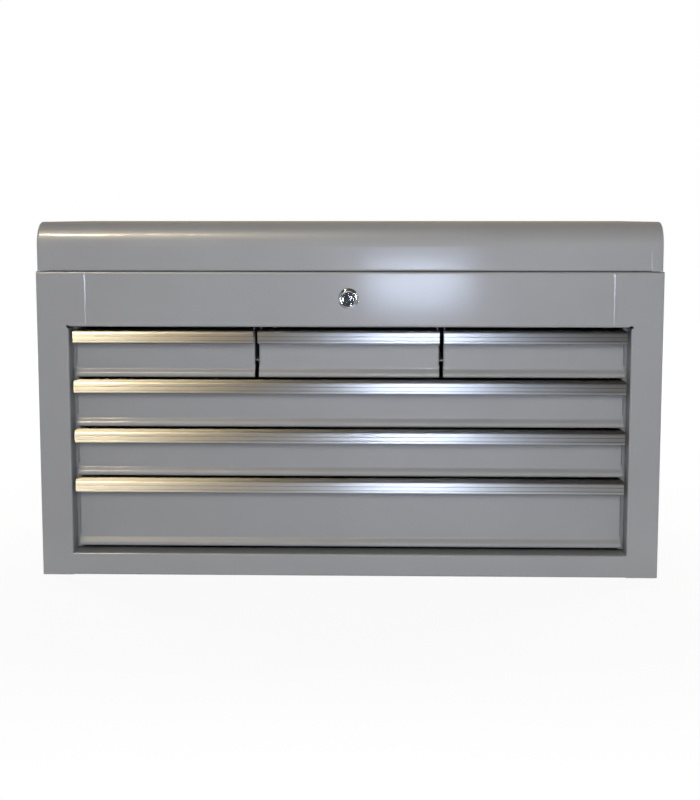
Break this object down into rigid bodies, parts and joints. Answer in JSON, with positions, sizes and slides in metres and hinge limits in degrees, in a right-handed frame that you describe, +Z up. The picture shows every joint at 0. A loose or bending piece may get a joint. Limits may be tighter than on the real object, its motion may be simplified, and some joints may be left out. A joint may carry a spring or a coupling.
{
  "type": "drawer tool box",
  "caption": "Folded sheet-steel top chest with a hinged lid over an open till and drawers on ball-bearing slides below, with aluminium finger pulls.",
  "frame": {"origin": "centre of the bottom face under the cabinet", "axes": "+X to the right across the front, -Y out of the front, +Z up"},
  "size_m": [0.6852, 0.3143, 0.378],
  "materials": {
    "painted_steel": "semi-gloss grey powder coat",
    "pull_aluminium": "satin anodised extrusion",
    "zinc_steel": "bright zinc plate",
    "chrome": "polished chrome plate",
    "rubber": "matt moulded rubber"
  },
  "bodies": {
    "cabinet": {"side_left": "painted_steel", "side_right": "painted_steel", "back_panel": "painted_steel", "bottom_panel": "painted_steel", "front_rail": "painted_steel", "till_floor": "painted_steel", "divider_left": "painted_steel", "divider_right": "painted_steel", "uprights_left": "painted_steel", "uprights_right": "painted_steel", "cabinet_slides_1": "zinc_steel", "cabinet_slides_2": "zinc_steel", "cabinet_slides_3": "zinc_steel", "cabinet_slides_4": "zinc_steel", "cabinet_slides_5": "zinc_steel", "cabinet_slides_6": "zinc_steel", "hinge_leaf_body": "zinc_steel", "hinge_pin": "zinc_steel", "stop_brackets": "zinc_steel", "lock_body": "chrome", "lock_nut": "zinc_steel", "handle_plate_left": "chrome", "handle_plate_right": "chrome"},
    "lid": {"lid_skin": "painted_steel", "lid_end_left": "painted_steel", "lid_end_right": "painted_steel", "hinge_leaf_lid": "zinc_steel", "lid_strike": "zinc_steel", "stop_arms": "zinc_steel", "lid_buffers": "rubber"},
    "drawer_1": {"drawer_tray_1": "painted_steel", "drawer_pull_1": "pull_aluminium", "drawer_slides_1": "zinc_steel"},
    "drawer_2": {"drawer_tray_2": "painted_steel", "drawer_pull_2": "pull_aluminium", "drawer_slides_2": "zinc_steel"},
    "drawer_3": {"drawer_tray_3": "painted_steel", "drawer_pull_3": "pull_aluminium", "drawer_slides_3": "zinc_steel"},
    "drawer_4": {"drawer_tray_4": "painted_steel", "drawer_pull_4": "pull_aluminium", "drawer_slides_4": "zinc_steel"},
    "drawer_5": {"drawer_tray_5": "painted_steel", "drawer_pull_5": "pull_aluminium", "drawer_slides_5": "zinc_steel"},
    "drawer_6": {"drawer_tray_6": "painted_steel", "drawer_pull_6": "pull_aluminium", "drawer_slides_6": "zinc_steel"},
    "cage_1": {"ball_cages_1": "zinc_steel"},
    "cage_2": {"ball_cages_2": "zinc_steel"},
    "cage_3": {"ball_cages_3": "zinc_steel"},
    "cage_4": {"ball_cages_4": "zinc_steel"},
    "cage_5": {"ball_cages_5": "zinc_steel"},
    "cage_6": {"ball_cages_6": "zinc_steel"},
    "lock_core": {"lock_plug": "chrome", "lock_cam": "zinc_steel"},
    "bail_left": {"handle_bail_left": "chrome"},
    "bail_right": {"handle_bail_right": "chrome"}
  },
  "joints": [
    {"name": "lid_hinge", "type": "hinge", "parent": "cabinet", "child": "lid", "pos_m": [0, 0.1558, 0.3263], "axis": [-1, 0, 0], "range_deg": [0, 97]},
    {"name": "drawer_1_slide", "type": "slide", "parent": "cabinet", "child": "drawer_1", "axis": [0, -1, 0], "range_m": [0, 0.2]},
    {"name": "drawer_2_slide", "type": "slide", "parent": "cabinet", "child": "drawer_2", "axis": [0, -1, 0], "range_m": [0, 0.2]},
    {"name": "drawer_3_slide", "type": "slide", "parent": "cabinet", "child": "drawer_3", "axis": [0, -1, 0], "range_m": [0, 0.2]},
    {"name": "drawer_4_slide", "type": "slide", "parent": "cabinet", "child": "drawer_4", "axis": [0, -1, 0], "range_m": [0, 0.2]},
    {"name": "drawer_5_slide", "type": "slide", "parent": "cabinet", "child": "drawer_5", "axis": [0, -1, 0], "range_m": [0, 0.2]},
    {"name": "drawer_6_slide", "type": "slide", "parent": "cabinet", "child": "drawer_6", "axis": [0, -1, 0], "range_m": [0, 0.2]},
    {"name": "cage_1_run", "type": "slide", "parent": "cabinet", "child": "cage_1", "axis": [0, -1, 0], "range_m": [0, 0.1]},
    {"name": "cage_2_run", "type": "slide", "parent": "cabinet", "child": "cage_2", "axis": [0, -1, 0], "range_m": [0, 0.1]},
    {"name": "cage_3_run", "type": "slide", "parent": "cabinet", "child": "cage_3", "axis": [0, -1, 0], "range_m": [0, 0.1]},
    {"name": "cage_4_run", "type": "slide", "parent": "cabinet", "child": "cage_4", "axis": [0, -1, 0], "range_m": [0, 0.1]},
    {"name": "cage_5_run", "type": "slide", "parent": "cabinet", "child": "cage_5", "axis": [0, -1, 0], "range_m": [0, 0.1]},
    {"name": "cage_6_run", "type": "slide", "parent": "cabinet", "child": "cage_6", "axis": [0, -1, 0], "range_m": [0, 0.1]},
    {"name": "lock_turn", "type": "hinge", "parent": "cabinet", "child": "lock_core", "pos_m": [0, -0.1525, 0.298], "axis": [0, 1, 0], "range_deg": [0, 90]},
    {"name": "bail_left_lift", "type": "hinge", "parent": "cabinet", "child": "bail_left", "pos_m": [-0.3366, 0, 0.215], "axis": [0, 1, 0], "range_deg": [0, 90]},
    {"name": "bail_right_lift", "type": "hinge", "parent": "cabinet", "child": "bail_right", "pos_m": [0.3366, 0, 0.215], "axis": [0, -1, 0], "range_deg": [0, 90]}
  ],
  "couplings": [
    {"joint": "cage_1_run", "follows": "drawer_1_slide", "ratio": 0.5},
    {"joint": "cage_2_run", "follows": "drawer_2_slide", "ratio": 0.5},
    {"joint": "cage_3_run", "follows": "drawer_3_slide", "ratio": 0.5},
    {"joint": "cage_4_run", "follows": "drawer_4_slide", "ratio": 0.5},
    {"joint": "cage_5_run", "follows": "drawer_5_slide", "ratio": 0.5},
    {"joint": "cage_6_run", "follows": "drawer_6_slide", "ratio": 0.5}
  ]
}
